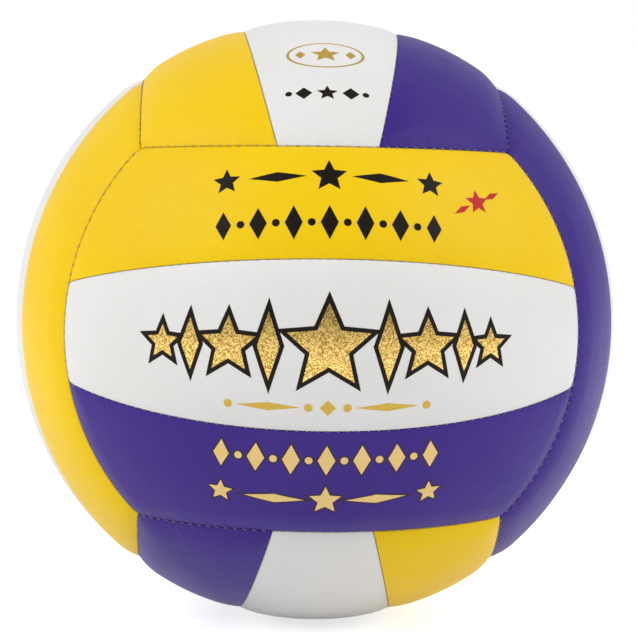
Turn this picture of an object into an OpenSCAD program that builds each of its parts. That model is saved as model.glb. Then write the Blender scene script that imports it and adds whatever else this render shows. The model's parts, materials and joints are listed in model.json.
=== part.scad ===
// Volleyball of eighteen sewn panels round an inflated rubber bladder.
// The origin is the ball's centre, +Z is up and the photographed face looks towards -Y.
// Six faces of three strips each cover the ball. Strips of neighbouring faces run square to each other,
// so the ends of three strips always meet the long side of one strip of the next face.

/* [Ball] */
// Diameter over the crowns of the panels
ball_d = 210; // [195:1:220]
// Width of a middle strip at its crown, measured along the cover
middle_strip_w = 54; // [44:1:62]

/* [Cover layers] */
// Thickness of the soft synthetic leather skin over a panel's middle
skin_t = 2.4; // [1.6:0.1:3]
// Thickness that the skin is pared down to at its edges
skin_edge_t = 0.8; // [0.5:0.1:1.2]
// Thickness of the foam under the skin
foam_t = 1.5; // [1:0.1:2.5]
// Thickness of the cloth lining under the foam
lining_t = 0.4; // [0.2:0.1:0.8]
// Thickness of the glue film between two layers, and at their edges
glue_t = 0.1; // [0.05:0.05:0.2]

/* [Seams] */
// Distance over which a panel rounds down to its seam
edge_round_w = 8; // [5:0.5:11]
// How far the turned-in edge of a skin reaches past the lining
turn_in = 0.8; // [0.4:0.1:1.2]
// Diameter of the sewing thread
thread_d = 0.5; // [0.3:0.05:0.8]
// Clearance of the thread on either side in its seam
thread_play = 0.06; // [0.02:0.02:0.2]
// Depth of the thread's centre below the rounded edges
thread_sink = 0.5; // [0.3:0.1:1.2]
// Distance from a thread's end to the seam that its own seam meets
thread_end = 1; // [0.7:0.1:2]

/* [Bladder] */
// Wall of the rubber bladder
bladder_t = 0.6; // [0.4:0.1:1.2]
// Gap between the bladder and the turned-in edges
bladder_play = 0.3; // [0.1:0.1:0.8]

/* [Valve] */
// Diameter of the valve hole in the back middle panel
valve_hole_d = 11; // [9:0.5:14]
// Gap between the housing's neck and the hole's wall
valve_hole_play = 0.3; // [0.1:0.1:0.6]
// Depth of the housing's rim below the ball's crown
rim_sink = 0.5; // [0.2:0.1:1]
// Length of the housing from its rim to its inner end
housing_l = 19; // [16:0.5:24]
// Diameter of the housing's foot inside the bladder
foot_d = 34; // [26:1:44]
// Thickness of the housing's foot
foot_t = 1.6; // [1:0.2:3]
// Diameter of the reinforcing patch round the valve
patch_d = 30; // [24:1:40]
// Thickness of the reinforcing patch
patch_t = 0.8; // [0.4:0.1:1.4]

/* [Valve core] */
// Diameter of the core's stem
core_d = 6; // [5:0.2:7]
// Length of the core's stem below its head
core_l = 15; // [13:0.5:18]
// Diameter of the core's head
head_d = 8; // [7.4:0.2:8.6]
// Thickness of the core's head
head_t = 1.6; // [1.2:0.1:2.4]
// Clearance between the core and the housing, on the radius
core_play = 0.05; // [0.03:0.01:0.1]
// Diameter of the hole that guides the inflation needle
needle_hole_d = 2.1; // [1.8:0.1:2.4]
// Depth of the straight part of the needle hole
needle_hole_l = 9; // [6:0.5:11]
// Diameter of the funnel that leads the needle in
funnel_d = 3.6; // [3:0.2:5]
// Depth of the funnel
funnel_l = 0.8; // [0.4:0.1:1.2]

/* [Hidden] */
$fn = 96;
YELLOW = "gold";
WHITE = "whitesmoke";
PURPLE = "darkslateblue";
ball_r = ball_d / 2;
// Three faces meet at one point where every face seam lies this far round from its own face's middle.
seam_angle = acos(1 / sqrt(3));
strip_angle = middle_strip_w / ball_d * 180 / PI;
seam_gap = thread_d + 2 * thread_play;
edge_round_depth = skin_t - skin_edge_t;
layer_inset = seam_gap / 2 + skin_edge_t + glue_t;
foam_r = ball_r - skin_t - glue_t;
lining_r = foam_r - foam_t - glue_t;
lining_inner_r = lining_r - lining_t;
turned_r = lining_inner_r - turn_in;
patch_r = lining_inner_r - glue_t;
bladder_r = min(turned_r, patch_r - patch_t) - bladder_play;
foot_r = bladder_r - bladder_t - glue_t;
thread_r = ball_r - edge_round_depth - thread_sink;
neck_d = valve_hole_d - 2 * valve_hole_play;
rim_r = ball_r - rim_sink;
core_bore_d = core_d + 2 * core_play;
head_bore_d = head_d + 2 * core_play;
overrun = 2;
far_r = 2 * ball_r;
// The rounded edge, from the seam outwards: shares of its width and of its depth.
edge_round_shares = [[0, 1], [0.12, 0.5], [0.45, 0.14], [1, 0]];
// Face, its thirds of a turn about the ball's corner, whether it is turned over, its strips and their colours.
FACES = [
    ["top", 0, false, ["left", "middle", "right"], [YELLOW, WHITE, PURPLE]],
    ["bottom", 0, true, ["right", "middle", "left"], [YELLOW, WHITE, PURPLE]],
    ["right", 1, false, ["front", "middle", "back"], [PURPLE, WHITE, YELLOW]],
    ["left", 1, true, ["back", "middle", "front"], [PURPLE, WHITE, YELLOW]],
    ["back", 2, false, ["lower", "middle", "upper"], [YELLOW, WHITE, PURPLE]],
    ["front", 2, true, ["upper", "middle", "lower"], [YELLOW, WHITE, PURPLE]],
];
STRIPS = [-1, 0, 1];
VALVE_PANEL = "back_middle";
function panel_name(face, strip) = str(face[0], "_", face[3][strip + 1]);
PANEL_NAMES = [for (face = FACES, strip = STRIPS) panel_name(face, strip)];

// A point at a distance and an angle from the axis of a solid of revolution.
function polar(r, angle) = [r * sin(angle), r * cos(angle)];

// A cone or a near cylinder round the Z axis, whose side runs through points p and q of its profile.
module cone_through(p, q) {
    gain = (q[0] - p[0]) / (q[1] - p[1]);
    tip = p[1] - p[0] / gain;
    low = gain > 0 && tip > -far_r ? tip : -far_r;
    high = gain < 0 && tip < far_r ? tip : far_r;
    translate([0, 0, low])
        cylinder(
            h = high - low,
            r1 = low == tip ? 0 : gain * (low - tip),
            r2 = high == tip ? 0 : gain * (high - tip)
        );
}

// The cone inside a face's end seams, narrowed by an inset square to it.
module seam_cone(inset) {
    translate([0, 0, inset / sin(seam_angle)])
        cylinder(h = far_r, r1 = 0, r2 = far_r * tan(seam_angle));
}

// The profile of a panel's rounded edge, from its seam on, where the seam lies seam_at round from +Z.
function edge_rim(seam_at) = [for (share = edge_round_shares) polar(
    ball_r - edge_round_depth * share[1],
    seam_at + (seam_gap / 2 + edge_round_w * share[0]) / ball_r * 180 / PI
)];

// What the rounded edge at a seam between two faces leaves of the ball.
module inside_face_seam_edge(seam_at) {
    rim = edge_rim(seam_at);
    intersection_for (i = [1 : len(rim) - 1])
        cone_through(rim[i - 1], rim[i]);
}

// What the rounded edge at a seam between two strips takes off the ball: a ring square to the Z axis.
module strip_seam_edge() {
    rim = edge_rim(90);
    last = len(rim) - 1;
    before_seam = 90 - overrun / ball_r * 180 / PI;
    rotate_extrude()
        polygon(concat(
            [polar(ball_r + overrun, before_seam), polar(ball_r - edge_round_depth, before_seam)],
            [for (i = [0 : last - 1]) rim[i]],
            [2 * rim[last] - rim[last - 1]]
        ));
}

// All that lies past the plane of a strip seam, which is square to the Z axis, and an inset before it.
module beyond_plane(inset) {
    translate([-far_r, -far_r, -inset])
        cube([2 * far_r, 2 * far_r, far_r]);
}

// How far round from +Z towards +X the directions lie that point across a strip's seams with other strips.
function strip_seam_turns(strip) = strip == 0
    ? [90 + strip_angle, -90 - strip_angle]
    : [strip * (strip_angle - 90)];

// The same for its seams with other faces, and how far round each such direction its seam lies.
function face_seams(strip) = strip == 0
    ? [[180, 180 - seam_angle]]
    : [[180, 180 - seam_angle], [strip * 90, seam_angle]];

// One strip's share of a shell from inner_r to r, for the face that looks along +Z, with square edges.
// Its strips run along Y, and strip is -1, 0 or 1 from -X to +X.
module strip_shell(strip, r, inner_r, inset) {
    difference() {
        intersection() {
            sphere(r);
            seam_cone(inset);
        }
        if (strip != 0)
            rotate([0, strip * 90, 0])
                seam_cone(-inset);
        for (turn = strip_seam_turns(strip))
            rotate([0, turn, 0])
                beyond_plane(inset);
        sphere(inner_r);
    }
}

// Turns what is drawn for the face that looks along +Z to its own face.
module on_face(face) {
    rotate(120 * face[1], [1, 1, 1])
        rotate([0, face[2] ? 180 : 0, 0])
            children();
}

// The valve's hole through the middle of a panel, if the valve is in that one.
module valve_hole(name) {
    if (name == VALVE_PANEL)
        cylinder(d = valve_hole_d, h = far_r);
}

// A panel's skin: its face with its edges rounded down to the seams, and turned in along them.
module panel_skin(face, strip) {
    color(face[4][strip + 1])
        on_face(face)
            difference() {
                intersection() {
                    strip_shell(strip, ball_r, turned_r, seam_gap / 2);
                    intersection_for (seam = face_seams(strip))
                        rotate([0, seam[0], 0])
                            inside_face_seam_edge(seam[1]);
                }
                for (turn = strip_seam_turns(strip))
                    rotate([0, turn, 0])
                        strip_seam_edge();
                strip_shell(strip, ball_r - skin_t, turned_r - overrun, seam_gap / 2 + skin_edge_t);
                valve_hole(panel_name(face, strip));
            }
}

// A panel's foam, which fills its skin.
module panel_foam(face, strip) {
    color("lightgray")
        on_face(face)
            difference() {
                strip_shell(strip, foam_r, foam_r - foam_t, layer_inset);
                valve_hole(panel_name(face, strip));
            }
}

// A panel's cloth lining, on the foam's inner face.
module panel_lining(face, strip) {
    color("linen")
        on_face(face)
            difference() {
                strip_shell(strip, lining_r, lining_inner_r, layer_inset);
                valve_hole(panel_name(face, strip));
            }
}

// A thread along an arc round the +Z axis, centred on the +X side, that reaches half_arc to either side.
module thread_arc(arc_r, half_arc) {
    rotate_extrude(angle = 2 * half_arc, start = -half_arc)
        translate([arc_r, 0])
            circle(d = thread_d);
}

// The threads of the seams between faces, one along each end of every face's strips.
module face_seam_thread() {
    arc_r = thread_r * sin(seam_angle);
    color("saddlebrown")
        for (face = FACES, end = [-90, 90])
            on_face(face)
                translate([0, 0, thread_r * cos(seam_angle)])
                    rotate(end)
                        thread_arc(arc_r, 45 - thread_end / arc_r * 180 / PI);
}

// The threads of the seams between the strips of each face.
module strip_seam_thread() {
    half_arc = acos(cos(seam_angle) / cos(strip_angle));
    color("saddlebrown")
        for (face = FACES, side = [-1, 1])
            on_face(face)
                rotate([0, side * strip_angle, 0])
                    rotate([0, -90, 0])
                        thread_arc(thread_r, half_arc - thread_end / thread_r * 180 / PI);
}

// Turns what is drawn round the +Z axis to the valve's axis.
module on_valve() {
    rotate([-90, 0, 0])
        children();
}

// The inflated bladder, with the hole that the valve housing's neck stands in.
module bladder() {
    color("dimgray")
        difference() {
            sphere(bladder_r);
            sphere(bladder_r - bladder_t);
            on_valve()
                cylinder(d = valve_hole_d, h = far_r);
        }
}

// The patch that backs the cover round the valve.
module valve_patch() {
    color("linen")
        on_valve()
            difference() {
                intersection() {
                    sphere(patch_r);
                    cylinder(d = patch_d, h = far_r);
                }
                sphere(patch_r - patch_t);
                cylinder(d = valve_hole_d, h = far_r);
            }
}

// The rubber housing: a tube through the cover with a foot inside the bladder, bored for the core.
module valve_housing() {
    color("black")
        on_valve()
            difference() {
                union() {
                    intersection() {
                        difference() {
                            sphere(foot_r);
                            sphere(foot_r - foot_t);
                        }
                        cylinder(d = foot_d, h = far_r);
                    }
                    translate([0, 0, rim_r - housing_l])
                        cylinder(d = neck_d, h = housing_l);
                }
                translate([0, 0, rim_r - head_t - core_play])
                    cylinder(d = head_bore_d, h = head_t + core_play + overrun);
                translate([0, 0, rim_r - head_t - core_l - core_play])
                    cylinder(d = core_bore_d, h = core_l + overrun);
                translate([0, 0, rim_r - housing_l - overrun])
                    cylinder(d = needle_hole_d, h = housing_l);
            }
}

// The removable core: a headed plug with a funnel and a hole that lead the needle to its closed slit.
module valve_core() {
    color("dimgray")
        on_valve()
            difference() {
                union() {
                    translate([0, 0, rim_r - head_t])
                        cylinder(d = head_d, h = head_t);
                    translate([0, 0, rim_r - head_t - core_l])
                        cylinder(d = core_d, h = core_l);
                }
                translate([0, 0, rim_r - funnel_l - needle_hole_l])
                    cylinder(d = needle_hole_d, h = funnel_l + needle_hole_l + overrun);
                translate([0, 0, rim_r - funnel_l])
                    cylinder(d1 = needle_hole_d, d2 = funnel_d, h = funnel_l);
            }
}

for (face = FACES, strip = STRIPS) {
    name = panel_name(face, strip);
    panel_skin(face, strip);
    panel_foam(face, strip);
    panel_lining(face, strip);
}
face_seam_thread();
strip_seam_thread();
bladder();
valve_patch();
valve_housing();
valve_core();
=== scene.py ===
"""A volleyball's looks: eighteen leather panels, their stitches, plain prints, a valve and a studio.

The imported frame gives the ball's place and size. Its centre is the origin, +Z is up, the photographed face
looks towards -Y, and every length is in metres.
"""

import json
import logging
import math
from dataclasses import dataclass, field, replace
from enum import Enum

import bmesh
import bpy
from mathutils import Matrix, Vector, noise

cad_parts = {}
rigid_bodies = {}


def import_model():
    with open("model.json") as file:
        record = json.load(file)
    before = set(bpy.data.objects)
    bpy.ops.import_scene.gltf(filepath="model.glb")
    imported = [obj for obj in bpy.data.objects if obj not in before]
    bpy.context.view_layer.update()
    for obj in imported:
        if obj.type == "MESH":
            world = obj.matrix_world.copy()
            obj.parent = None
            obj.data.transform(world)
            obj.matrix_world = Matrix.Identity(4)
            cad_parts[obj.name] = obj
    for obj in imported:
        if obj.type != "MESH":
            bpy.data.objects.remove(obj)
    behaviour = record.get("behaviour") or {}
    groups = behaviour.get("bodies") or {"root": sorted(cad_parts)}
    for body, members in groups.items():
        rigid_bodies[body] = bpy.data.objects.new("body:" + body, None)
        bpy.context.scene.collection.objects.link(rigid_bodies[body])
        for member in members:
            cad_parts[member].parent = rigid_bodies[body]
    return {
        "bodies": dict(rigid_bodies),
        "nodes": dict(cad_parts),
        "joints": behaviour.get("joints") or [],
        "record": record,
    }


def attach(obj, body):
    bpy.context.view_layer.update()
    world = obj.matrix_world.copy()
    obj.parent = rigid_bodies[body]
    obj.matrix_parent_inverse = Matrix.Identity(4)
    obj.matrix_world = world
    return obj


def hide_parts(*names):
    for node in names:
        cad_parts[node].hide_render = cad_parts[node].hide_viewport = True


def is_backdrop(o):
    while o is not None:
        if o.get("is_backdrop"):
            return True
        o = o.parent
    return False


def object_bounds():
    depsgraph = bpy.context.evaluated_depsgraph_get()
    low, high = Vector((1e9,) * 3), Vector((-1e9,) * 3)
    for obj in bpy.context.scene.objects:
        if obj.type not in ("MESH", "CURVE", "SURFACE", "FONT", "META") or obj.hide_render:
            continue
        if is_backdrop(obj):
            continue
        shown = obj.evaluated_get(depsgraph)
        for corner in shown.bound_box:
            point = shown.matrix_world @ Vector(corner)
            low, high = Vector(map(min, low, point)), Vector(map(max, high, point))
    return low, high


# Lengths, turns and directions that all the pieces share
MM = 0.001
HALF_TURN = math.pi
QUARTER_TURN = math.pi / 2.0
THIRD_TURN = math.tau / 3.0
X_AXIS = Vector((1.0, 0.0, 0.0))
Y_AXIS = Vector((0.0, 1.0, 0.0))
Z_AXIS = Vector((0.0, 0.0, 1.0))
ORIGIN = Vector((0.0, 0.0, 0.0))
SAME_PLACE = 0.01 * MM
SAME_THREAD_PLACE = SAME_PLACE / 10.0

# How far along each axis a cube's corner lies, as a share of its distance from the cube's middle
CUBE_CORNER = 1.0 / math.sqrt(3.0)

# Types
Colour = tuple[float, float, float]
Span = tuple[float, float]
Piece = bpy.types.Object
Material = bpy.types.Material
Socket = bpy.types.NodeSocket

log = logging.getLogger("volleyball")


# Named choices
class Hue(Enum):
    """The leather colours of the cover. The values are the record's material slots."""

    YELLOW = "yellow_leather"
    WHITE = "white_leather"
    PURPLE = "purple_leather"


class Shape(Enum):
    """The outlines that a print is made of. The values are the points round each."""

    LOZENGE = 4
    STAR = 10
    DISC = 48
    RING = 64


# Finishes
class Graph:
    """The node tree of a material or a world, with short ways to add and join its nodes."""

    NOISE_SPAN = (0.35, 0.65)
    WHITE = (1.0, 1.0, 1.0, 1.0)

    def __init__(self, owner: Material | bpy.types.World) -> None:
        """Empties the tree of a material or a world.

        Args:
            owner: the material or world.
        """
        self.owner = owner
        owner.use_nodes = True
        self.tree = owner.node_tree
        self.tree.nodes.clear()

    def add(self, kind: str, inputs: dict | None = None, **settings: object) -> bpy.types.Node:
        """Adds a node.

        Args:
            kind: the node's type, without its ShaderNode prefix.
            inputs: values or other nodes' output sockets, by the input's name or number.
            settings: the node's own properties.

        Returns:
            The new node.
        """
        node = self.tree.nodes.new(f"ShaderNode{kind}")
        for name, value in settings.items():
            setattr(node, name, value)
        for name, value in (inputs or {}).items():
            if isinstance(value, Socket):
                self.tree.links.new(value, node.inputs[name])
            else:
                node.inputs[name].default_value = value
        return node

    def join(self, operation: str, first: Socket | float, second: Socket | float) -> Socket:
        """Joins two values by a Math node's operation, and returns the result's socket."""
        return self.add("Math", {0: first, 1: second}, operation=operation).outputs[0]

    def span(self, value: Socket, low: float, high: float, to_low: float, to_high: float) -> Socket:
        """Maps a value from one range to another and holds it there.

        Args:
            value: the socket to read.
            low: the value that gives to_low.
            high: the value that gives to_high.
            to_low: the result at the low end.
            to_high: the result at the high end.

        Returns:
            The result's socket.
        """
        ranges = dict(enumerate((value, low, high, to_low, to_high)))
        return self.add("MapRange", ranges).outputs[0]

    def uneven(self, value: Socket, middle: float, spread: float) -> Socket:
        """Varies a number to either side of its middle by where a noise lies in its usual range."""
        return self.span(value, *self.NOISE_SPAN, middle - spread, middle + spread)

    def blend(self, share: Socket, first: Colour | Socket, second: Colour | Socket) -> Socket:
        """Mixes two colours.

        Args:
            share: how much of the second.
            first: one colour.
            second: the other.

        Returns:
            The result's socket.
        """
        colours = {
            number: colour if isinstance(colour, Socket) else (*colour, 1.0)
            for number, colour in ((1, first), (2, second))
        }
        return self.add("MixRGB", {0: share} | colours).outputs[0]

    def mottle(self, value: Socket, first: Colour | Socket, second: Colour | Socket) -> Socket:
        """Mixes two colours by where a noise lies in its usual range, and returns the result's socket."""
        return self.blend(self.span(value, *self.NOISE_SPAN, 0.0, 1.0), first, second)

    def place(self) -> Socket:
        """The point's place in its object's own coordinates."""
        return self.add("TexCoord").outputs["Object"]

    def attribute(self, name: str) -> Socket:
        """What the mesh notes at the point under that name."""
        return self.add("Attribute", attribute_name=name).outputs["Fac"]

    def noise(self, size: float, detail: float = 2.0) -> Socket:
        """Noise with patches of about that size."""
        inputs = {"Vector": self.place(), "Scale": 1.0 / size, "Detail": detail}
        return self.add("TexNoise", inputs).outputs[0]

    def cells(self, size: float, **settings: object) -> bpy.types.Node:
        """Cells of about that size: a node with the distance to a cell's middle and the cell's colour."""
        return self.add("TexVoronoi", {"Vector": self.place(), "Scale": 1.0 / size}, **settings)

    def bump(self, height: Socket, depth: float, strength: float = 0.5) -> Socket:
        """Raises the surface by a height, and returns the new normal's socket."""
        return self.add("Bump", {"Height": height, "Strength": strength, "Distance": depth}).outputs[0]

    def background_rays(self, mirrored: Socket | float = 1.0) -> Socket:
        """Tells the rays that show the background from those that bring its light.

        Args:
            mirrored: how much of the background glossy and transmission rays show.

        Returns:
            A socket that is 1 for camera rays, mirrored for glossy and transmission rays, and else 0.
        """
        path = self.add("LightPath").outputs
        through = self.join("MAXIMUM", path["Is Glossy Ray"], path["Is Transmission Ray"])
        return self.join("MAXIMUM", path["Is Camera Ray"], self.join("MULTIPLY", through, mirrored))

    def surface(self, colour: Socket, roughness: Socket | float, normal: Socket,
                **others: float) -> Material:
        """Ends a material in a Principled shader.

        Args:
            colour: the base colour.
            roughness: the roughness.
            normal: the normal.
            others: values for the shader's other inputs, by their names with _ for each space.

        Returns:
            The material.
        """
        inputs = {"Base Color": colour, "Roughness": roughness, "Normal": normal}
        named = {name.replace("_", " "): value for name, value in others.items()}
        return self.finish(self.add("BsdfPrincipled", inputs | named))

    def finish(self, shader: bpy.types.Node) -> Material | bpy.types.World:
        """Sends a shader to the output.

        Args:
            shader: the node that ends the tree.

        Returns:
            The material or world.
        """
        is_world = isinstance(self.owner, bpy.types.World)
        output = self.add("OutputWorld" if is_world else "OutputMaterial")
        self.tree.links.new(shader.outputs[0], output.inputs["Surface"])
        return self.owner


@dataclass(frozen=True)
class Leather:
    """Soft synthetic leather with a fine pebbled grain and a satin coat."""

    hue: Hue
    colour: Colour
    deep_colour: Colour
    blotch_size: float = 50.0 * MM
    roughness: float = 0.50
    roughness_spread: float = 0.06
    gloss: float = 0.20
    grain_size: float = 0.9 * MM
    grain_depth: float = 0.14 * MM
    pore_size: float = 0.3 * MM
    pore_share: float = 0.5
    dent_size: float = 14.0 * MM
    dent_share: float = 7.0
    creases_from: float = 2.7 * MM
    creases_to: float = 9.0 * MM
    crease_gain: float = 2.4
    # How wide, how strong and how dark the painted shade in the seams' grooves is
    groove_w: float = 0.3 * MM
    groove_shade_share: float = 0.35
    groove_shade_darkness: float = 0.4

    def material(self) -> Material:
        """Lays the grain over faint blotches and dents, with creases at the ends and painted shade darkening
        the seams' grooves.

        Returns:
            The material.
        """
        graph = Graph(bpy.data.materials.new(self.hue.value))
        blotched = graph.mottle(graph.noise(self.blotch_size), self.colour, self.deep_colour)
        # Painted shade: the colour darkens towards the seam's gap, where the lips shade the groove
        groove_shade = graph.span(graph.attribute(Panel.SEAM_DISTANCE), 0.0, self.groove_w, self.groove_shade_share, 0.0)
        colour = graph.blend(groove_shade, blotched, tuple(self.groove_shade_darkness * part for part in self.deep_colour))
        pores = graph.noise(self.pore_size)
        pebbles = graph.cells(self.grain_size, feature="SMOOTH_F1").outputs[0]
        grain = graph.join("ADD", pebbles, graph.join("MULTIPLY", pores, self.pore_share))
        end = graph.attribute(Panel.END_DISTANCE)
        creased = graph.span(end, self.creases_from, self.creases_to, self.crease_gain, 1.0)
        dents = graph.join("MULTIPLY", graph.noise(self.dent_size), self.dent_share)
        height = graph.join("ADD", graph.join("MULTIPLY", grain, creased), dents)
        normal = graph.bump(height, self.grain_depth)
        rough = graph.uneven(pores, self.roughness, self.roughness_spread)
        return graph.surface(colour, rough, normal, Specular_IOR_Level=self.gloss)


@dataclass(frozen=True)
class Thread:
    """Translucent nylon sewing thread, which lets some of the leather's colour through."""

    name: str = "sewing_thread"
    colour: Colour = (0.60, 0.54, 0.58)
    shade: Colour = (0.42, 0.37, 0.40)
    clearness: float = 0.6
    roughness: float = 0.3
    ply_size: float = 0.12 * MM
    ply_depth: float = 0.04 * MM

    def material(self) -> Material:
        """Lays fine plies round the thread.

        Returns:
            The material.
        """
        graph = Graph(bpy.data.materials.new(self.name))
        plies = graph.noise(self.ply_size)
        colour = graph.mottle(plies, self.colour, self.shade)
        normal = graph.bump(plies, self.ply_depth)
        return graph.surface(colour, self.roughness, normal, Transmission_Weight=self.clearness)


@dataclass(frozen=True)
class Ink:
    """Screen-printed ink, plain or with metal flake in it."""

    name: str
    colour: Colour
    flake_colour: Colour
    metallic: float = 0.0
    roughness: float = 0.45
    gloss: float = 0.18
    flake_size: float = 0.25 * MM
    flake_depth: float = 0.02 * MM
    flake_span: Span = (0.25, 0.75)

    def material(self) -> Material:
        """Lays flakes over the ground colour.

        Returns:
            The material, which is made only once.
        """
        made = bpy.data.materials.get(self.name)
        if made:
            return made
        graph = Graph(bpy.data.materials.new(self.name))
        flakes = graph.cells(self.flake_size)
        share = graph.span(flakes.outputs["Color"], *self.flake_span, 0.0, 1.0)
        colour = graph.blend(share, self.colour, self.flake_colour)
        normal = graph.bump(flakes.outputs[0], self.flake_depth)
        return graph.surface(colour, self.roughness, normal, Metallic=self.metallic,
                         Specular_IOR_Level=self.gloss)


@dataclass(frozen=True)
class Rubber:
    """Moulded or dipped rubber, with a faint bloom."""

    name: str
    colour: Colour
    bloom_colour: Colour
    roughness: float = 0.5
    roughness_spread: float = 0.08
    bloom_size: float = 2.5 * MM
    bloom_detail: float = 4.0
    skin_depth: float = 0.05 * MM

    def material(self) -> Material:
        """Lays patches of bloom over a fine moulded skin.

        Returns:
            The material.
        """
        graph = Graph(bpy.data.materials.new(self.name))
        bloom = graph.noise(self.bloom_size, self.bloom_detail)
        colour = graph.mottle(bloom, self.colour, self.bloom_colour)
        rough = graph.uneven(bloom, self.roughness, self.roughness_spread)
        return graph.surface(colour, rough, graph.bump(bloom, self.skin_depth))


@dataclass(frozen=True)
class Foam:
    """Closed-cell foam sheet."""

    name: str = "panel_foam"
    colour: Colour = (0.76, 0.75, 0.71)
    hollow_shade_colour: Colour = (0.62, 0.61, 0.57)
    cell_size: float = 0.5 * MM
    cell_depth: float = 0.1 * MM
    cell_span: Span = (0.1, 0.6)
    roughness: float = 0.9

    def material(self) -> Material:
        """Lays small cells, with painted shade darkening their hollows.

        Returns:
            The material.
        """
        graph = Graph(bpy.data.materials.new(self.name))
        cells = graph.cells(self.cell_size).outputs[0]
        # Painted shade: each cell's hollow, which the bump sinks, takes the darker colour
        colour = graph.blend(graph.span(cells, *self.cell_span, 0.0, 1.0), self.hollow_shade_colour, self.colour)
        return graph.surface(colour, self.roughness, graph.bump(cells, self.cell_depth))


@dataclass(frozen=True)
class Cloth:
    """Plain-woven cotton cloth."""

    name: str
    colour: Colour
    shade: Colour
    yarn_pitch: float = 0.6 * MM
    yarn_depth: float = 0.1 * MM
    unevenness: float = 0.3
    roughness: float = 0.85
    sheen: float = 0.2

    WAVE_PERIOD = math.tau / 20.0

    def material(self) -> Material:
        """Weaves yarns that cross square to each other.

        Returns:
            The material.
        """
        graph = Graph(bpy.data.materials.new(self.name))
        scale = self.WAVE_PERIOD / self.yarn_pitch
        waves = {"Vector": graph.place(), "Scale": scale, "Distortion": self.unevenness}
        bands = [graph.add("TexWave", waves, bands_direction=way).outputs[1] for way in "XYZ"]
        weave = graph.join("ADD", graph.join("MULTIPLY", bands[0], bands[1]), bands[2])
        colour = graph.blend(graph.span(weave, 0.0, 2.0, 0.0, 1.0), self.shade, self.colour)
        normal = graph.bump(weave, self.yarn_depth)
        return graph.surface(colour, self.roughness, normal, Sheen_Weight=self.sheen)


# Ways to work on a mesh
def only(piece: Piece) -> None:
    """Selects one object and makes it the active one.

    Args:
        piece: the object.
    """
    bpy.ops.object.select_all(action="DESELECT")
    piece.select_set(True)
    bpy.context.view_layer.objects.active = piece


def edit(piece: Piece) -> bmesh.types.BMesh:
    """Opens an object in edit mode with all of it selected.

    Args:
        piece: the object.

    Returns:
        Its mesh, as edit mode holds it.
    """
    only(piece)
    bpy.ops.object.mode_set(mode="EDIT")
    bpy.ops.mesh.select_all(action="SELECT")
    return bmesh.from_edit_mesh(piece.data)


def done() -> None:
    """Leaves edit mode."""
    bpy.ops.object.mode_set(mode="OBJECT")


def settle(piece: Piece) -> None:
    """Puts an object's place into its mesh, so that the object is at the origin, unturned and unscaled."""
    only(piece)
    bpy.ops.object.transform_apply(location=True, rotation=True, scale=True)


def join(pieces: list[Piece], name: str) -> Piece:
    """Joins several objects into the first of them.

    Args:
        pieces: the objects.
        name: the joined object's name.

    Returns:
        The joined object.
    """
    only(pieces[0])
    for piece in pieces[1:]:
        piece.select_set(True)
    bpy.ops.object.join()
    whole = bpy.context.object
    whole.name = whole.data.name = name
    return whole


def resize(by: float) -> None:
    """Resizes what is selected in edit mode alike in every direction, about the origin."""
    bpy.ops.transform.resize(value=(by, by, by), center_override=ORIGIN)


def turned(angle: float, axis: str | Vector) -> Matrix:
    """A turn about an axis through the origin."""
    return Matrix.Rotation(angle, 4, axis)


def modify(piece: Piece, kind: str, **settings: object) -> None:
    """Adds a modifier to an object and applies it.

    Args:
        piece: the object.
        kind: the modifier's type.
        settings: the modifier's own properties.
    """
    only(piece)
    modifier = piece.modifiers.new(kind.title(), kind)
    for name, value in settings.items():
        setattr(modifier, name, value)
    bpy.ops.object.modifier_apply(modifier=modifier.name)


def twin(piece: Piece, name: str, turn: Matrix) -> Piece:
    """Copies an object with a mesh of its own.

    Args:
        piece: the object to copy.
        name: the copy's name.
        turn: how the copy's mesh is turned about the origin.

    Returns:
        The copy.
    """
    mesh = piece.data.copy()
    mesh.transform(turn)
    mesh.name = name
    copy = bpy.data.objects.new(name, mesh)
    bpy.context.scene.collection.objects.link(copy)
    return copy


def paint(piece: Piece, material: Material) -> None:
    """Gives an object one material."""
    piece.data.materials.clear()
    piece.data.materials.append(material)


def report(piece: Piece) -> None:
    """Logs a finished piece."""
    log.info("%s: %d faces", piece.name, len(piece.data.polygons))


# Smooth rises and falls
def ease(share: float) -> float:
    """Rises smoothly from 0 to 1 as share does, and stays at 0 before and at 1 after."""
    share = min(max(share, 0.0), 1.0)
    return share * share * (3.0 - 2.0 * share)


def fall(share: float, roundness: float) -> float:
    """Falls from 1 to 0 as share rises from 0 to 1, and ends level.

    Args:
        share: how far along the fall.
        roundness: 1 for a quarter of a circle, 0 for a nearly even slope.

    Returns:
        The height that is left.
    """
    left = 1.0 - min(share, 1.0)
    arc = 1.0 - math.sqrt(1.0 - left ** 2)
    slope = left * math.sqrt(left)
    return roundness * arc + (1.0 - roundness) * slope


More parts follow.
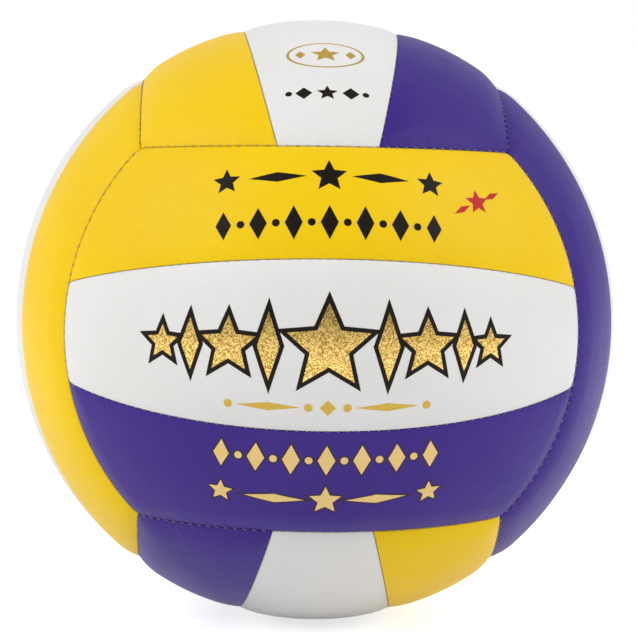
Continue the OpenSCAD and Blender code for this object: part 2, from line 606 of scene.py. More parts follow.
# The ball's seams, panels and stitches
@dataclass(frozen=True)
class Seam:
    """An arc on the ball that bounds a panel, always at the same angle from its axis.

    The panel is nearer to the axis than the arc is where side is 1, and further from it where side is -1.
    The seam's lips lie below the ball's crown by its sink.
    """

    axis: Vector
    middle: Vector
    angle: float
    side: int
    sink: float

    def inset(self, by_angle: float) -> "Seam":
        """The same arc, moved into its panel by that angle."""
        return replace(self, angle=self.angle - self.side * by_angle)

    def away(self, direction: Vector) -> float:
        """The angle from the arc to a direction in the panel."""
        return self.side * (self.angle - self.axis.angle(direction))

    def along(self, direction: Vector) -> float:
        """The angle round the axis from the arc's middle to a direction."""
        return math.atan2(self.axis.cross(self.middle).dot(direction), self.middle.dot(direction))

    def meets(self, other: "Seam") -> Vector:
        """Finds where this arc crosses another.

        Args:
            other: the other arc.

        Returns:
            The direction of the crossing that is on the side of both arcs' middles.
        """
        lean = self.axis.dot(other.axis)
        spare = 1.0 - lean * lean
        mine = (math.cos(self.angle) - lean * math.cos(other.angle)) / spare
        its = (math.cos(other.angle) - lean * math.cos(self.angle)) / spare
        base = self.axis * mine + other.axis * its
        across = self.axis.cross(other.axis)
        reach = across * (math.sqrt(max(0.0, 1.0 - base.dot(base))) / across.length)
        towards = self.middle + other.middle
        return base + reach if reach.dot(towards) > 0.0 else base - reach


@dataclass(frozen=True)
class Ball:
    """The sizes that all of the ball's pieces share."""

    radius: float
    face_sink: float = 1.9 * MM
    strip_sink: float = 1.05 * MM
    seam_gap: float = 0.18 * MM
    seam_bow: float = 1.4 * MM
    skin_t: float = 2.4 * MM
    skin_edge_t: float = 0.35 * MM
    middle_strip_w: float = 54.0 * MM
    lip_depth: float = 0.5 * MM
    turned_depth: float = 5.3 * MM
    stitch_pitch: float = 3.2 * MM

    @property
    def strip_angle(self) -> float:
        """How far round from its face's middle a strip seam lies."""
        return self.middle_strip_w / (2.0 * self.radius)

    def face_seam(self, axis: Vector, middle: Vector, side: int) -> Seam:
        """The seam between two faces: from one corner of a cube to the next, bowed in its middle.

        Args:
            axis: where the face that ends at the seam looks.
            middle: where the face that runs along the seam looks.
            side: 1 for a panel that ends at the seam, -1 for one that runs along it.

        Returns:
            The seam.
        """
        crown = math.asin(CUBE_CORNER) + self.seam_bow / self.radius
        lean = math.atan2(math.sin(crown) - CUBE_CORNER, math.cos(crown) - CUBE_CORNER)
        bowed_axis = axis * math.cos(lean) - middle * math.sin(lean)
        bowed_middle = middle * math.cos(lean) + axis * math.sin(lean)
        angle = math.acos(CUBE_CORNER * (math.cos(lean) - math.sin(lean)))
        return Seam(bowed_axis, bowed_middle, angle, side, self.face_sink)

    def strip_seam(self, mirror: int, side: int) -> Seam:
        """A seam between two strips of the face that looks along +Z.

        Args:
            mirror: 1 for the seam at +X, -1 for the one at -X.
            side: 1 for a panel outside the seam, -1 for the middle strip.

        Returns:
            The seam.
        """
        lean = self.strip_angle
        axis = Vector((mirror * math.cos(lean), 0.0, -math.sin(lean)))
        middle = Vector((mirror * math.sin(lean), 0.0, math.cos(lean)))
        return Seam(axis, middle, QUARTER_TURN, side, self.strip_sink)

    def stitch_angle(self, seam: Seam) -> float:
        """The angle round a seam's axis from one stitch to the next."""
        return self.stitch_pitch / (self.radius * math.sin(seam.angle))


@dataclass
class Panel:
    """A strip of the face that looks along +Z, modelled once and copied to wherever such a strip lies."""

    ball: Ball
    outer: bool
    steps_along: int = 240
    steps_across: int = 66
    shoulder_w: float = 8.0 * MM
    roundness: float = 0.45
    corner_power: float = 3.0
    pillow_w: float = 18.0 * MM
    pillow_depth: float = 0.25 * MM
    pucker_depth: float = 0.15 * MM
    pucker_widths: float = 3.0
    side_pucker_w: float = 1.2 * MM
    end_pucker_w: float = 2.4 * MM
    wrinkle_depth: float = 0.10 * MM
    wrinkle_share: float = 0.5
    wrinkle_w: float = 6.0 * MM
    wrinkle_pitch: float = 2.2 * MM
    wrinkle_fade_w: float = 1.0 * MM
    lip_rows: tuple[float, ...] = (0.1 * MM, 0.25 * MM)
    seams: list[Seam] = field(default_factory=list)

    SEAM_DISTANCE = "seam_distance"
    END_DISTANCE = "end_distance"

    def __post_init__(self) -> None:
        """Works out the panel's four seams, counter-clockwise from its -Y end."""
        ball = self.ball
        if self.outer:
            right, left = ball.face_seam(X_AXIS, Z_AXIS, -1), ball.strip_seam(1, 1)
        else:
            right, left = ball.strip_seam(1, -1), ball.strip_seam(-1, -1)
        ends = [ball.face_seam(Z_AXIS, -Y_AXIS, 1), ball.face_seam(Z_AXIS, Y_AXIS, 1)]
        half_gap = ball.seam_gap / 2.0 / ball.radius
        self.seams = [seam.inset(half_gap) for seam in (ends[0], right, ends[1], left)]

    def outline(self) -> Piece:
        """Spins one vertex along each of the panel's seams in turn, into a closed outline.

        Returns:
            The outline, as edges only.
        """
        corners = [seam.meets(self.seams[i - 1]) * self.ball.radius for i, seam in enumerate(self.seams)]
        bpy.ops.mesh.primitive_plane_add(size=MM, location=corners[0])
        piece = bpy.context.object
        edit(piece)
        bpy.ops.mesh.merge(type="CENTER")
        for i, seam in enumerate(self.seams):
            centre = seam.axis * (self.ball.radius * math.cos(seam.angle))
            start, stop = corners[i] - centre, corners[(i + 1) % len(corners)] - centre
            turn = math.atan2(start.cross(stop).dot(seam.axis), start.dot(stop))
            steps = self.steps_along if i % 2 else self.steps_across
            bpy.ops.mesh.spin(steps=steps, angle=-turn, center=centre, axis=seam.axis)
        bpy.ops.mesh.select_all(action="SELECT")
        bpy.ops.mesh.remove_doubles(threshold=SAME_PLACE)
        done()
        settle(piece)
        return piece

    def fill(self, piece: Piece) -> None:
        """Fills the outline with a grid, rounds the grid to the ball, and adds narrow rows at the lips.

        Args:
            piece: the outline.
        """
        mesh = edit(piece)
        bpy.ops.mesh.select_mode(type="EDGE")
        bpy.ops.mesh.select_all(action="DESELECT")
        for edge in mesh.edges:
            for end in self.seams[::2]:
                if all(abs(end.away(vert.co)) * self.ball.radius < SAME_PLACE for vert in edge.verts):
                    edge.select = True
        bpy.ops.mesh.fill_grid()
        bpy.ops.mesh.select_mode(type="VERT")
        bpy.ops.mesh.select_all(action="SELECT")
        bpy.ops.transform.tosphere(value=1.0, center_override=ORIGIN)
        mesh = bmesh.from_edit_mesh(piece.data)
        resize(self.ball.radius * len(mesh.verts) / sum(vert.co.length for vert in mesh.verts))
        bpy.ops.mesh.normals_make_consistent(inside=False)
        faces = bmesh.from_edit_mesh(piece.data).faces
        if sum(face.normal.dot(face.calc_center_median()) for face in faces) < 0.0:
            bpy.ops.mesh.flip_normals()
        for width in self.lip_rows:
            bpy.ops.mesh.inset(thickness=width, use_boundary=True, use_even_offset=True)
        done()

    def depth(self, direction: Vector) -> float:
        """Works out how far the leather lies below the ball's crown.

        Args:
            direction: where from the ball's centre.

        Returns:
            The depth.
        """
        ball = self.ball
        away = [max(0.0, seam.away(direction)) * ball.radius for seam in self.seams]
        power = self.corner_power
        shoulder = sum(
            ((seam.sink - self.pillow_depth) * fall(distance / self.shoulder_w, self.roundness)) ** power
            for seam, distance in zip(self.seams, away)
        ) ** (1.0 / power)
        pillow = self.pillow_depth * (1.0 - ease(min(away) / self.pillow_w))
        pucker = wrinkle = 0.0
        for number, (seam, distance) in enumerate(zip(self.seams, away)):
            pucker_w = self.side_pucker_w if number % 2 else self.end_pucker_w
            stitch = seam.along(direction) / ball.stitch_angle(seam)
            if distance < self.pucker_widths * pucker_w:
                fade = math.exp(-((distance / pucker_w) ** 2))
                pull = (1.0 + math.cos(math.tau * stitch)) / 2.0
                pucker = max(pucker, self.pucker_depth * pull * fade)
            if number % 2 == 0 and distance < self.wrinkle_w:
                folds = stitch * ball.stitch_pitch / self.wrinkle_pitch
                fold = Vector((folds, distance / self.wrinkle_w, number))
                fade = (1.0 - ease(distance / self.wrinkle_w)) * ease(distance / self.wrinkle_fade_w)
                wrinkle += self.wrinkle_depth * (self.wrinkle_share + noise.noise(fold)) * fade
        return shoulder + pillow + pucker + wrinkle

    def nearest(self, seams: list[Seam], direction: Vector) -> float:
        """How far a direction lies from the nearest of some seams, along the ball."""
        return max(0.0, min(seam.away(direction) for seam in seams)) * self.ball.radius

    def press(self, piece: Piece) -> None:
        """Presses the panel's shoulders down to its seams, and notes every point's distance from them.

        Args:
            piece: the filled panel.
        """
        points = piece.data.vertices
        near = [self.nearest(self.seams, vert.co) for vert in points]
        ends = [self.nearest(self.seams[::2], vert.co) for vert in points]
        deep = [self.depth(vert.co.normalized()) for vert in points]
        deepest = max(deep)
        pressed = piece.vertex_groups.new(name="pressed")
        full = piece.vertex_groups.new(name="full")
        for i, depth in enumerate(deep):
            pressed.add([i], depth / deepest, "REPLACE")
            full.add([i], ease(near[i] / self.shoulder_w), "REPLACE")
        for name, distances in ((self.SEAM_DISTANCE, near), (self.END_DISTANCE, ends)):
            note = piece.data.attributes.new(name, "FLOAT", "POINT")
            note.data.foreach_set("value", distances)
        modify(piece, "DISPLACE", vertex_group="pressed", strength=-deepest, mid_level=0.0)

    def turn_in(self, piece: Piece) -> None:
        """Turns the panel's edges in along its seams, and gives the leather its thickness.

        Args:
            piece: the pressed panel.
        """
        ball = self.ball
        edit(piece)
        bpy.ops.mesh.region_to_loop()
        from_r = ball.radius - ball.face_sink
        for to_r in (from_r - ball.lip_depth, ball.radius - ball.turned_depth):
            bpy.ops.mesh.extrude_edges_move()
            resize(to_r / from_r)
            from_r = to_r
        done()
        modify(piece, "SOLIDIFY", thickness=ball.skin_t, offset=-1.0, vertex_group="full",
               thickness_vertex_group=ball.skin_edge_t / ball.skin_t, use_even_offset=False)
        only(piece)
        bpy.ops.object.shade_smooth()

    def build(self) -> Piece:
        """Models the panel.

        Returns:
            The panel.
        """
        piece = self.outline()
        self.fill(piece)
        self.press(piece)
        self.turn_in(piece)
        return piece


@dataclass(frozen=True)
class Face:
    """One of the ball's six faces, with its strips from its own -X to its own +X."""

    name: str
    thirds: int
    over: bool
    strips: tuple[str, str, str]
    hues: tuple[Hue, Hue, Hue]

    def turn(self) -> Matrix:
        """Turns what is modelled for the face that looks along +Z to this face."""
        round_corner = turned(self.thirds * THIRD_TURN, Vector((1.0, 1.0, 1.0)))
        return round_corner @ turned(HALF_TURN if self.over else 0.0, "Y")


LIGHT_FIRST = (Hue.YELLOW, Hue.WHITE, Hue.PURPLE)
DARK_FIRST = (Hue.PURPLE, Hue.WHITE, Hue.YELLOW)
FACES = (
    Face("top", 0, False, ("left", "middle", "right"), LIGHT_FIRST),
    Face("bottom", 0, True, ("right", "middle", "left"), LIGHT_FIRST),
    Face("right", 1, False, ("front", "middle", "back"), DARK_FIRST),
    Face("left", 1, True, ("back", "middle", "front"), DARK_FIRST),
    Face("back", 2, False, ("lower", "middle", "upper"), LIGHT_FIRST),
    Face("front", 2, True, ("upper", "middle", "lower"), LIGHT_FIRST),
)


@dataclass
class Cover:
    """The eighteen leather panels."""

    ball: Ball
    valve_hole_d: float = 11.0 * MM
    valve_hole_sides: int = 64
    panels: dict[str, Piece] = field(default_factory=dict)
    leathers: tuple[Leather, ...] = (
        Leather(Hue.YELLOW, (0.90, 0.60, 0.001), (0.87, 0.565, 0.001)),
        Leather(Hue.WHITE, (0.80, 0.795, 0.785), (0.77, 0.765, 0.75)),
        Leather(Hue.PURPLE, (0.046, 0.019, 0.225), (0.040, 0.016, 0.21)),
    )

    VALVE_PANEL = "back_middle"

    def build(self) -> None:
        """Models the two kinds of panel and copies them to every face."""
        materials = {leather.hue: leather.material() for leather in self.leathers}
        models = {outer: Panel(self.ball, outer).build() for outer in (False, True)}
        for face in FACES:
            for strip in (-1, 0, 1):
                name = f"{face.name}_{face.strips[strip + 1]}"
                turn = face.turn() @ turned(HALF_TURN if strip < 0 else 0.0, "Z")
                panel = twin(models[strip != 0], f"panel_{name}", turn)
                hue = face.hues[strip + 1]
                paint(panel, materials[hue])
                if name == self.VALVE_PANEL:
                    self.cut_valve_hole(panel)
                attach(panel, "ball")
                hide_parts(f"skin_{name}")
                self.panels[name] = panel
                report(panel)
        for model in models.values():
            bpy.data.objects.remove(model)

    def cut_valve_hole(self, panel: Piece) -> None:
        """Cuts the valve's hole along Y.

        Args:
            panel: the panel in the middle of the back face.
        """
        bpy.ops.mesh.primitive_cylinder_add(
            vertices=self.valve_hole_sides, radius=self.valve_hole_d / 2.0, depth=self.ball.radius,
            location=(0.0, self.ball.radius, 0.0), rotation=(QUARTER_TURN, 0.0, 0.0),
        )
        cutter = bpy.context.object
        modify(panel, "BOOLEAN", operation="DIFFERENCE", object=cutter, solver="EXACT")
        bpy.data.objects.remove(cutter)


@dataclass
class Stitching:
    """The stitches that show in the seams: a short loop of thread, slanting over the gap, at every step."""

    ball: Ball
    thread_d: float = 0.30 * MM
    reach: float = 0.55 * MM
    flatten: float = 0.45
    foot_share: float = 0.25
    slant_deg: float = 65.0
    face_lift: float = 0.04 * MM
    strip_lift: float = -0.25 * MM
    end_gap: float = 1.6 * MM
    loop_sides: int = 12
    thread_sides: int = 6
    thread: Thread = Thread()

    def stitch(self) -> Piece:
        """Models one stitch.

        Returns:
            The outer part of a flattened ring of thread, round the origin and open towards -Y.
        """
        bpy.ops.mesh.primitive_torus_add(
            major_segments=self.loop_sides, minor_segments=self.thread_sides,
            major_radius=self.reach, minor_radius=self.thread_d / 2.0,
        )
        piece = bpy.context.object
        edit(piece)
        foot = Y_AXIS * (-self.reach * self.foot_share)
        bpy.ops.mesh.bisect(plane_co=foot, plane_no=Y_AXIS, clear_inner=True, use_fill=True)
        bpy.ops.mesh.select_all(action="SELECT")
        bpy.ops.transform.resize(value=(1.0, self.flatten, 1.0), center_override=ORIGIN)
        done()
        return piece

    def stitch_row(self, seam: Seam, half_angle: float, lift: float) -> Piece:
        """Models the stitches of one seam.

        Args:
            seam: the seam they lie in.
            half_angle: how far the seam reaches to either side of its middle, round its axis.
            lift: how far above the seam's lips they lie.

        Returns:
            The stitches, as one object.
        """
        ball = self.ball
        step = ball.stitch_angle(seam)
        room = half_angle - self.end_gap / (ball.radius * math.sin(seam.angle))
        reach = int(room / step) * step
        outwards = (seam.axis * math.cos(seam.angle) + seam.middle * math.sin(seam.angle)).normalized()
        run = seam.axis.cross(seam.middle).normalized()
        across = Matrix((run.cross(outwards), outwards, -run)).transposed().to_4x4()
        frame = across @ turned(math.radians(self.slant_deg), "Y")
        stitch_r = ball.radius - seam.sink + lift
        stitch = self.stitch()
        stitch.matrix_world = Matrix.Translation(outwards * stitch_r) @ frame
        settle(stitch)
        edit(stitch)
        centre = seam.axis * (stitch_r * math.cos(seam.angle))
        bpy.ops.mesh.spin(steps=int(room / step), dupli=True, angle=-reach, center=centre, axis=seam.axis)
        done()
        back = Matrix.Translation(centre) @ turned(-reach, seam.axis) @ Matrix.Translation(-centre)
        behind = twin(stitch, "stitches_behind", back)
        stitches = join([stitch, behind], "stitch_row")
        edit(stitches)
        bpy.ops.mesh.remove_doubles(threshold=SAME_THREAD_PLACE)
        bpy.ops.mesh.normals_make_consistent(inside=False)
        done()
        only(stitches)
        bpy.ops.object.shade_smooth()
        return stitches

    def sew(self, kind: str, row: Piece, material: Material) -> None:
        """Copies a row to the two seams of its kind on every face, and joins them into one piece.

        Args:
            kind: what the seams are between.
            row: one seam's stitches.
            material: the thread's.
        """
        rows = [
            twin(row, f"{kind}_row", face.turn() @ turned(half * HALF_TURN, "Z"))
            for face in FACES for half in (0, 1)
        ]
        bpy.data.objects.remove(row)
        piece = join(rows, f"{kind}_seam_stitches")
        paint(piece, material)
        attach(piece, "ball")
        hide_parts(f"{kind}_seam_thread")
        report(piece)

    def build(self) -> None:
        """Sews all the seams."""
        ball = self.ball
        material = self.thread.material()
        strip_seam, face_seam = ball.strip_seam(1, 1), ball.face_seam(Z_AXIS, Y_AXIS, 1)
        strip_reach = abs(strip_seam.along(strip_seam.meets(face_seam)))
        face_reach = abs(face_seam.along(face_seam.meets(ball.face_seam(X_AXIS, Z_AXIS, -1))))
        self.sew("face", self.stitch_row(face_seam, face_reach, self.face_lift), material)
        self.sew("strip", self.stitch_row(strip_seam, strip_reach, self.strip_lift), material)


# The pieces that keep the frame's own shapes
@dataclass
class Inside:
    """What the cover hides, and the valve: the frame's own pieces, given their finishes."""

    nodes: dict[str, Piece]
    foam: Foam = Foam()
    lining: Cloth = Cloth("lining_cloth", (0.80, 0.78, 0.72), (0.60, 0.58, 0.52))
    patch: Cloth = Cloth("patch_cloth", (0.78, 0.76, 0.70), (0.58, 0.56, 0.50), 0.8 * MM)
    bladder: Rubber = Rubber("bladder_rubber", (0.025,) * 3, (0.06,) * 3, 0.45, bloom_size=16.0 * MM)
    housing: Rubber = Rubber("valve_rubber", (0.012,) * 3, (0.03,) * 3)
    core: Rubber = Rubber("core_rubber", (0.045, 0.045, 0.047), (0.07,) * 3)

    def build(self) -> None:
        """Finishes every piece of the frame that keeps its own shape."""
        foam, lining = self.foam.material(), self.lining.material()
        own = {
            "bladder": self.bladder.material(),
            "valve_patch": self.patch.material(),
            "valve_housing": self.housing.material(),
            "valve_core": self.core.material(),
        }
        for name, node in self.nodes.items():
            kind = name.split("_")[0]
            material = own.get(name) or {"foam": foam, "lining": lining}.get(kind)
            if material:
                paint(node, material)
                report(node)


# Prints
@dataclass(frozen=True)
class Motif:
    """One printed shape: its kind, its middle's place on its face, its size and its turn.

    Places and sizes are lengths along the ball, to the right and up from the middle of the face.
    """

    shape: Shape
    right: float
    up: float
    wide: float
    high: float
    turn_deg: float = 0.0

    STAR_WAIST = 0.46

    def grown(self, rim: float) -> "Motif":
        """Widens the shape all round.

        Args:
            rim: how much more.

        Returns:
            The wider shape.
        """
        half_w, half_h = self.wide / 2.0, self.high / 2.0
        if self.shape is Shape.STAR:
            tenth, waist = math.tau / self.shape.value, self.STAR_WAIST
            side = math.sqrt(1.0 + waist ** 2 - 2.0 * waist * math.cos(tenth))
            to_edge = half_w * waist * math.sin(tenth) / side
        elif self.shape is Shape.LOZENGE:
            to_edge = half_w * half_h / math.hypot(half_w, half_h)
        else:
            to_edge = half_w
        grow = 1.0 + rim / to_edge
        return replace(self, wide=self.wide * grow, high=self.high * grow)


def row(up: float, *halves: tuple[Shape, float, float, float]) -> tuple[Motif, ...]:
    """Sets out a row of motifs across a face, mirrored about the face's middle.

    Args:
        up: how far above the face's middle the row runs, in millimetres.
        halves: each motif's shape, its place to the right, its width and its height, in millimetres.

    Returns:
        The motifs of both halves.
    """
    return tuple(
        Motif(shape, side * right * MM, up * MM, wide * MM, high * MM)
        for shape, right, wide, high in halves
        for side in ((1, -1) if right else (1,))
    )


@dataclass(frozen=True)
class Print:
    """What one ink prints on one panel."""

    name: str
    face: str
    strip: str
    ink: Ink
    motifs: tuple[Motif, ...]
    quarter_turns: int = 0
    rim: float = 0.0
    lift: float = 0.01 * MM
    film_t: float = 0.03 * MM
    cell: float = 1.3 * MM
    ring_w: float = 0.9 * MM
    above: float = 4.0 * MM

    def flat(self, motif: Motif) -> Piece:
        """Draws a motif flat, facing along +Z, in cells small enough to bend over the ball.

        Args:
            motif: what to draw.

        Returns:
            The flat shape.
        """
        ring = motif.shape is Shape.RING
        bpy.ops.mesh.primitive_circle_add(
            vertices=motif.shape.value, radius=1.0, fill_type="NOTHING" if ring else "TRIFAN",
        )
        piece = bpy.context.object
        mesh = edit(piece)
        if ring:
            bpy.ops.mesh.extrude_edges_move()
            resize(1.0 - 2.0 * self.ring_w / motif.wide)
        elif motif.shape is Shape.STAR:
            bpy.ops.mesh.select_all(action="DESELECT")
            for vert in mesh.verts:
                tenth = round(math.atan2(vert.co.x, vert.co.y) / math.tau * motif.shape.value)
                vert.select = vert.co.length > SAME_PLACE and tenth % 2 != 0
            resize(motif.STAR_WAIST)
        bpy.ops.mesh.select_all(action="SELECT")
        bpy.ops.transform.resize(value=(motif.wide / 2.0, motif.high / 2.0, 1.0), center_override=ORIGIN)
        if not ring:
            bpy.ops.mesh.subdivide(number_cuts=int(max(motif.wide, motif.high) / 2.0 / self.cell))
        bpy.ops.mesh.normals_make_consistent(inside=False)
        if sum(face.normal.z for face in bmesh.from_edit_mesh(piece.data).faces) < 0.0:
            bpy.ops.mesh.flip_normals()
        done()
        return piece

    def place(self, motif: Motif, radius: float) -> Matrix:
        """Works out where a motif goes.

        Args:
            motif: what is printed.
            radius: the ball's.

        Returns:
            The motif's place, above the ball and facing outwards.
        """
        up_angle, right_angle = motif.up / radius, motif.right / radius
        level = Z_AXIS * math.cos(up_angle) - X_AXIS * math.sin(up_angle)
        out = level * math.cos(right_angle) + Y_AXIS * math.sin(right_angle)
        right = Y_AXIS * math.cos(right_angle) - level * math.sin(right_angle)
        frame = Matrix((right, out.cross(right), out)).transposed().to_4x4()
        face = next(face for face in FACES if face.name == self.face)
        turn = face.turn() @ turned(self.quarter_turns * QUARTER_TURN, "Z")
        stand = Matrix.Translation(out * (radius + self.above))
        return turn @ stand @ frame @ turned(math.radians(motif.turn_deg), "Z")

    def build(self, ball: Ball, panels: dict[str, Piece]) -> None:
        """Draws every motif, drapes it over the panel, and joins them all.

        Args:
            ball: the ball's sizes.
            panels: the ball's panels, by face and strip.
        """
        panel = panels[f"{self.face}_{self.strip}"]
        films = []
        for motif in self.motifs:
            film = self.flat(motif.grown(self.rim))
            place = self.place(motif, ball.radius)
            film.matrix_world = place
            modify(film, "SHRINKWRAP", target=panel, wrap_method="PROJECT", use_project_z=True,
                   use_positive_direction=False, use_negative_direction=True, offset=0.0)
            modify(film, "SOLIDIFY", thickness=self.film_t, offset=1.0)
            settle(film)
            film.data.transform(Matrix.Translation(place.to_3x3() @ Z_AXIS * self.lift))
            films.append(film)
        piece = join(films, self.name)
        paint(piece, self.ink.material())
        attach(piece, "ball")
        report(piece)


# The inks
BLACK = Ink("black_ink", (0.009, 0.006, 0.005), (0.015, 0.011, 0.007), gloss=0.1)
FOIL = Ink("gold_foil", (0.28, 0.16, 0.024), (0.80, 0.57, 0.19), 1.0, 0.32, 0.5, flake_size=0.4 * MM)
GOLD = Ink("gold_ink", (0.50, 0.32, 0.045), (0.58, 0.39, 0.07), 0.4)
PEACH = Ink("peach_ink", (0.84, 0.57, 0.19), (0.90, 0.66, 0.29))
BROWN = Ink("brown_ink", (0.035, 0.014, 0.030), (0.050, 0.022, 0.040))
RED = Ink("red_ink", (0.48, 0.008, 0.01), (0.56, 0.012, 0.015))

# What is printed, with places and sizes in millimetres
BIG_STARS = row(
    0.0, (Shape.STAR, 0.0, 27.0, 27.0), (Shape.LOZENGE, 18.5, 7.0, 21.0), (Shape.STAR, 31.0, 18.0, 18.0),
    (Shape.LOZENGE, 43.5, 6.0, 16.0), (Shape.STAR, 53.0, 11.0, 11.0),
)
THIN_LINE = row(
    -19.0, (Shape.LOZENGE, 0.0, 5.0, 5.0), (Shape.DISC, 6.0, 2.6, 2.6), (Shape.LOZENGE, 18.5, 20.0, 2.6),
    (Shape.DISC, 31.0, 2.6, 2.6),
)
UPPER_ROWS = row(
    54.0, (Shape.STAR, 0.0, 11.5, 11.5), (Shape.LOZENGE, 16.0, 18.0, 3.4), (Shape.STAR, 32.0, 9.0, 9.0),
) + row(
    38.5, (Shape.LOZENGE, 0.0, 5.5, 11.0), (Shape.DISC, 5.5, 2.4, 2.4), (Shape.LOZENGE, 11.0, 5.5, 11.0),
    (Shape.DISC, 16.5, 2.4, 2.4), (Shape.LOZENGE, 22.0, 5.5, 10.0), (Shape.DISC, 27.5, 2.4, 2.4),
    (Shape.LOZENGE, 33.0, 5.0, 9.0),
)
LOWER_ROWS = row(
    -36.5, (Shape.LOZENGE, 0.0, 5.5, 10.0), (Shape.DISC, 5.5, 2.4, 2.4), (Shape.LOZENGE, 11.0, 5.5, 10.0),
    (Shape.DISC, 16.5, 2.4, 2.4), (Shape.LOZENGE, 22.0, 5.5, 9.5), (Shape.DISC, 27.5, 2.4, 2.4),
    (Shape.LOZENGE, 33.0, 5.0, 9.0),
) + row(
    -51.0, (Shape.STAR, 0.0, 10.5, 10.5), (Shape.LOZENGE, 16.0, 19.0, 3.2), (Shape.STAR, 33.0, 8.0, 8.0),
)
SLANTED_STAR = (
    Motif(Shape.STAR, 48.5 * MM, 51.0 * MM, 8.5 * MM, 8.5 * MM, 12.0),
    Motif(Shape.LOZENGE, 43.0 * MM, 47.0 * MM, 7.0 * MM, 2.0 * MM, 35.0),
    Motif(Shape.LOZENGE, 54.0 * MM, 55.0 * MM, 7.0 * MM, 2.0 * MM, 35.0),
)
OVAL = row(
    -55.5, (Shape.RING, 0.0, 25.5, 17.0), (Shape.STAR, 0.0, 10.0, 10.0), (Shape.LOZENGE, 8.2, 3.4, 5.0),
)
SHORT_ROW = row(
    -77.5, (Shape.STAR, 0.0, 7.0, 7.0), (Shape.LOZENGE, 7.5, 5.5, 5.5), (Shape.DISC, 12.3, 2.2, 2.2),
)
PRINTS = (
    Print("print_black_rims", "front", "middle", BLACK, BIG_STARS, rim=1.35 * MM),
    Print("print_gold_stars", "front", "middle", FOIL, BIG_STARS, lift=0.05 * MM),
    Print("print_gold_line", "front", "middle", GOLD, THIN_LINE),
    Print("print_black_rows", "front", "upper", BLACK, UPPER_ROWS),
    Print("print_red_mark", "front", "upper", RED, SLANTED_STAR),
    Print("print_brown_rims", "front", "lower", BROWN, LOWER_ROWS, rim=0.5 * MM),
    Print("print_peach_rows", "front", "lower", PEACH, LOWER_ROWS, lift=0.05 * MM),
    Print("print_gold_oval", "top", "middle", GOLD, OVAL, quarter_turns=-1),
    Print("print_black_plate", "top", "middle", BLACK, SHORT_ROW, quarter_turns=-1),
)


# The studio
@dataclass(frozen=True)
class Lamp:
    """A soft square lamp that faces the ball, from so far round to the right and up from its level."""

    name: str
    azimuth_deg: float
    elevation_deg: float
    power: float
    size: float = 0.9
    distance: float = 1.2

    def hang(self) -> None:
        """Hangs the lamp."""
        data = bpy.data.lights.new(self.name, "AREA")
        data.size = self.size
        data.energy = self.power
        lamp = bpy.data.objects.new(self.name, data)
        bpy.context.scene.collection.objects.link(lamp)
        azimuth, elevation = math.radians(self.azimuth_deg), math.radians(self.elevation_deg)
        level = math.cos(elevation)
        away = Vector((math.sin(azimuth) * level, -math.cos(azimuth) * level, math.sin(elevation)))
        lamp.location = away * self.distance
        lamp.rotation_euler = away.to_track_quat("Z", "Y").to_euler()


@dataclass(frozen=True)
class Camera:
    """The camera, from the ball's size and place in the picture. Its distance is in radii of the ball."""

    picture_px: float = 636.0
    ball_px: float = 299.4
    centre_px: tuple[float, float] = (315.0, 319.7)
    distance: float = 6.8
    tilts_deg: tuple[float, float, float] = (4.49, 0.78, 2.34)
    sensor_w: float = 36.0

    def set_up(self, ball: Ball) -> None:
        """Sets the camera where the photograph was taken from.

        Args:
            ball: the ball's sizes.
        """
        data = bpy.data.cameras.new("camera")
        camera = bpy.data.objects.new("camera", data)
        bpy.context.scene.collection.objects.link(camera)
        tilt = Matrix()
        for angle, axis in zip(self.tilts_deg, "XYZ"):
            tilt = tilt @ turned(math.radians(angle), axis)
        stand = Matrix.Translation(Vector((0.0, -self.distance * ball.radius, 0.0)))
        camera.matrix_world = tilt.inverted() @ stand @ turned(QUARTER_TURN, "X")
        focal_px = self.ball_px * math.sqrt(self.distance ** 2 - 1.0)
        data.sensor_width = self.sensor_w
        data.lens = focal_px * self.sensor_w / self.picture_px
        data.shift_x = (self.picture_px / 2.0 - self.centre_px[0]) / self.picture_px
        data.shift_y = (self.centre_px[1] - self.picture_px / 2.0) / self.picture_px
        bpy.context.scene.camera = camera


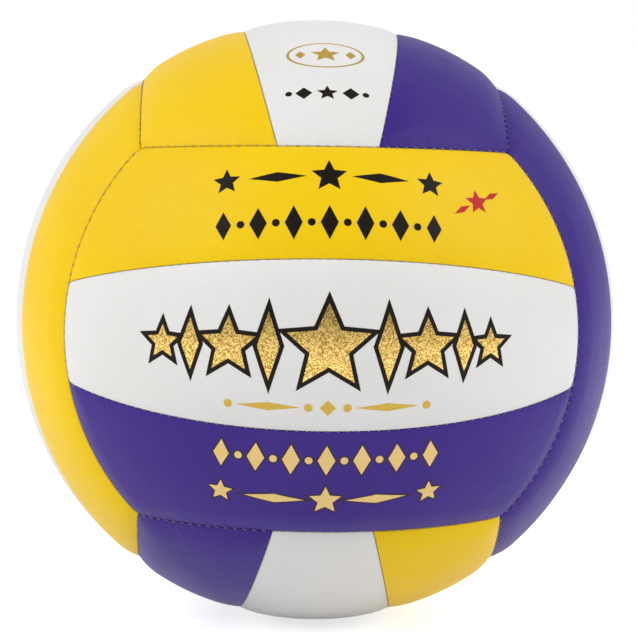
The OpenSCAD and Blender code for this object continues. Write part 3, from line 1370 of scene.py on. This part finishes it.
@dataclass
class Studio:
    """A plain pale floor, soft lights and the camera. The floor's fade is in radii of the ball."""

    ball: Ball
    camera: Camera = Camera()
    floor_size: float = 40.0
    floor_colour: Colour = (0.92, 0.92, 0.92)
    near_floor: float = 0.70
    fade: Span = (2.0, 6.0)
    front_light: float = 0.20
    back_light: float = 0.85
    light_span: Span = (-0.4, 1.0)
    mirrored_span: Span = (0.2, 0.9)
    lamps: tuple[Lamp, ...] = (
        Lamp("left_lamp", -62.0, 35.0, 8.9),
        Lamp("right_lamp", 62.0, 35.0, 8.4),
    )

    def floor(self) -> None:
        """Lays the floor at the ball's foot, which fades to white away from the ball."""
        radius = self.ball.radius
        bpy.ops.mesh.primitive_plane_add(size=self.floor_size, location=(0.0, 0.0, -radius))
        plane = bpy.context.object
        plane.name = "floor"
        settle(plane)
        graph = Graph(bpy.data.materials.new("pale_floor"))
        away = graph.add("VectorMath", {0: graph.place()}, operation="LENGTH").outputs["Value"]
        far = graph.span(away, self.fade[0] * radius, self.fade[1] * radius, self.near_floor, 1.0)
        shine = graph.join("MULTIPLY", graph.background_rays(), far)
        diffuse = graph.add("BsdfDiffuse", {"Color": (*self.floor_colour, 1.0)})
        glow = graph.add("Emission", {"Color": graph.WHITE, "Strength": shine})
        paint(plane, graph.finish(graph.add("AddShader", {0: diffuse.outputs[0], 1: glow.outputs[0]})))
        plane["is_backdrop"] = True

    def world(self) -> None:
        """Sets the light from all around, dim from the front, before a white background."""
        world = bpy.data.worlds.new("studio")
        bpy.context.scene.world = world
        graph = Graph(world)
        back = graph.add("SeparateXYZ", {0: graph.add("TexCoord").outputs["Generated"]}).outputs["Y"]
        light = graph.span(back, *self.light_span, self.front_light, self.back_light)
        mirrored = graph.span(back, *self.mirrored_span, 0.0, 1.0)
        strength = graph.join("MAXIMUM", light, graph.background_rays(mirrored))
        graph.finish(graph.add("Background", {"Color": graph.WHITE, "Strength": strength}))

    def build(self) -> None:
        """Sets up the whole studio."""
        self.camera.set_up(self.ball)
        self.floor()
        self.world()
        for lamp in self.lamps:
            lamp.hang()
        bpy.context.scene.view_settings.view_transform = "Standard"


def main() -> None:
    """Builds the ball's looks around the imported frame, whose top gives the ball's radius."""
    logging.basicConfig(level=logging.INFO, format="%(name)s %(message)s")
    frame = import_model()
    bpy.ops.object.select_all(action="DESELECT")
    cad_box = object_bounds()
    ball = Ball(radius=cad_box[1].z)
    Studio(ball).build()
    cover = Cover(ball)
    cover.build()
    Stitching(ball).build()
    for item in PRINTS:
        item.build(ball, cover.panels)
    Inside(frame["nodes"]).build()


if __name__ == "__main__":
    main()
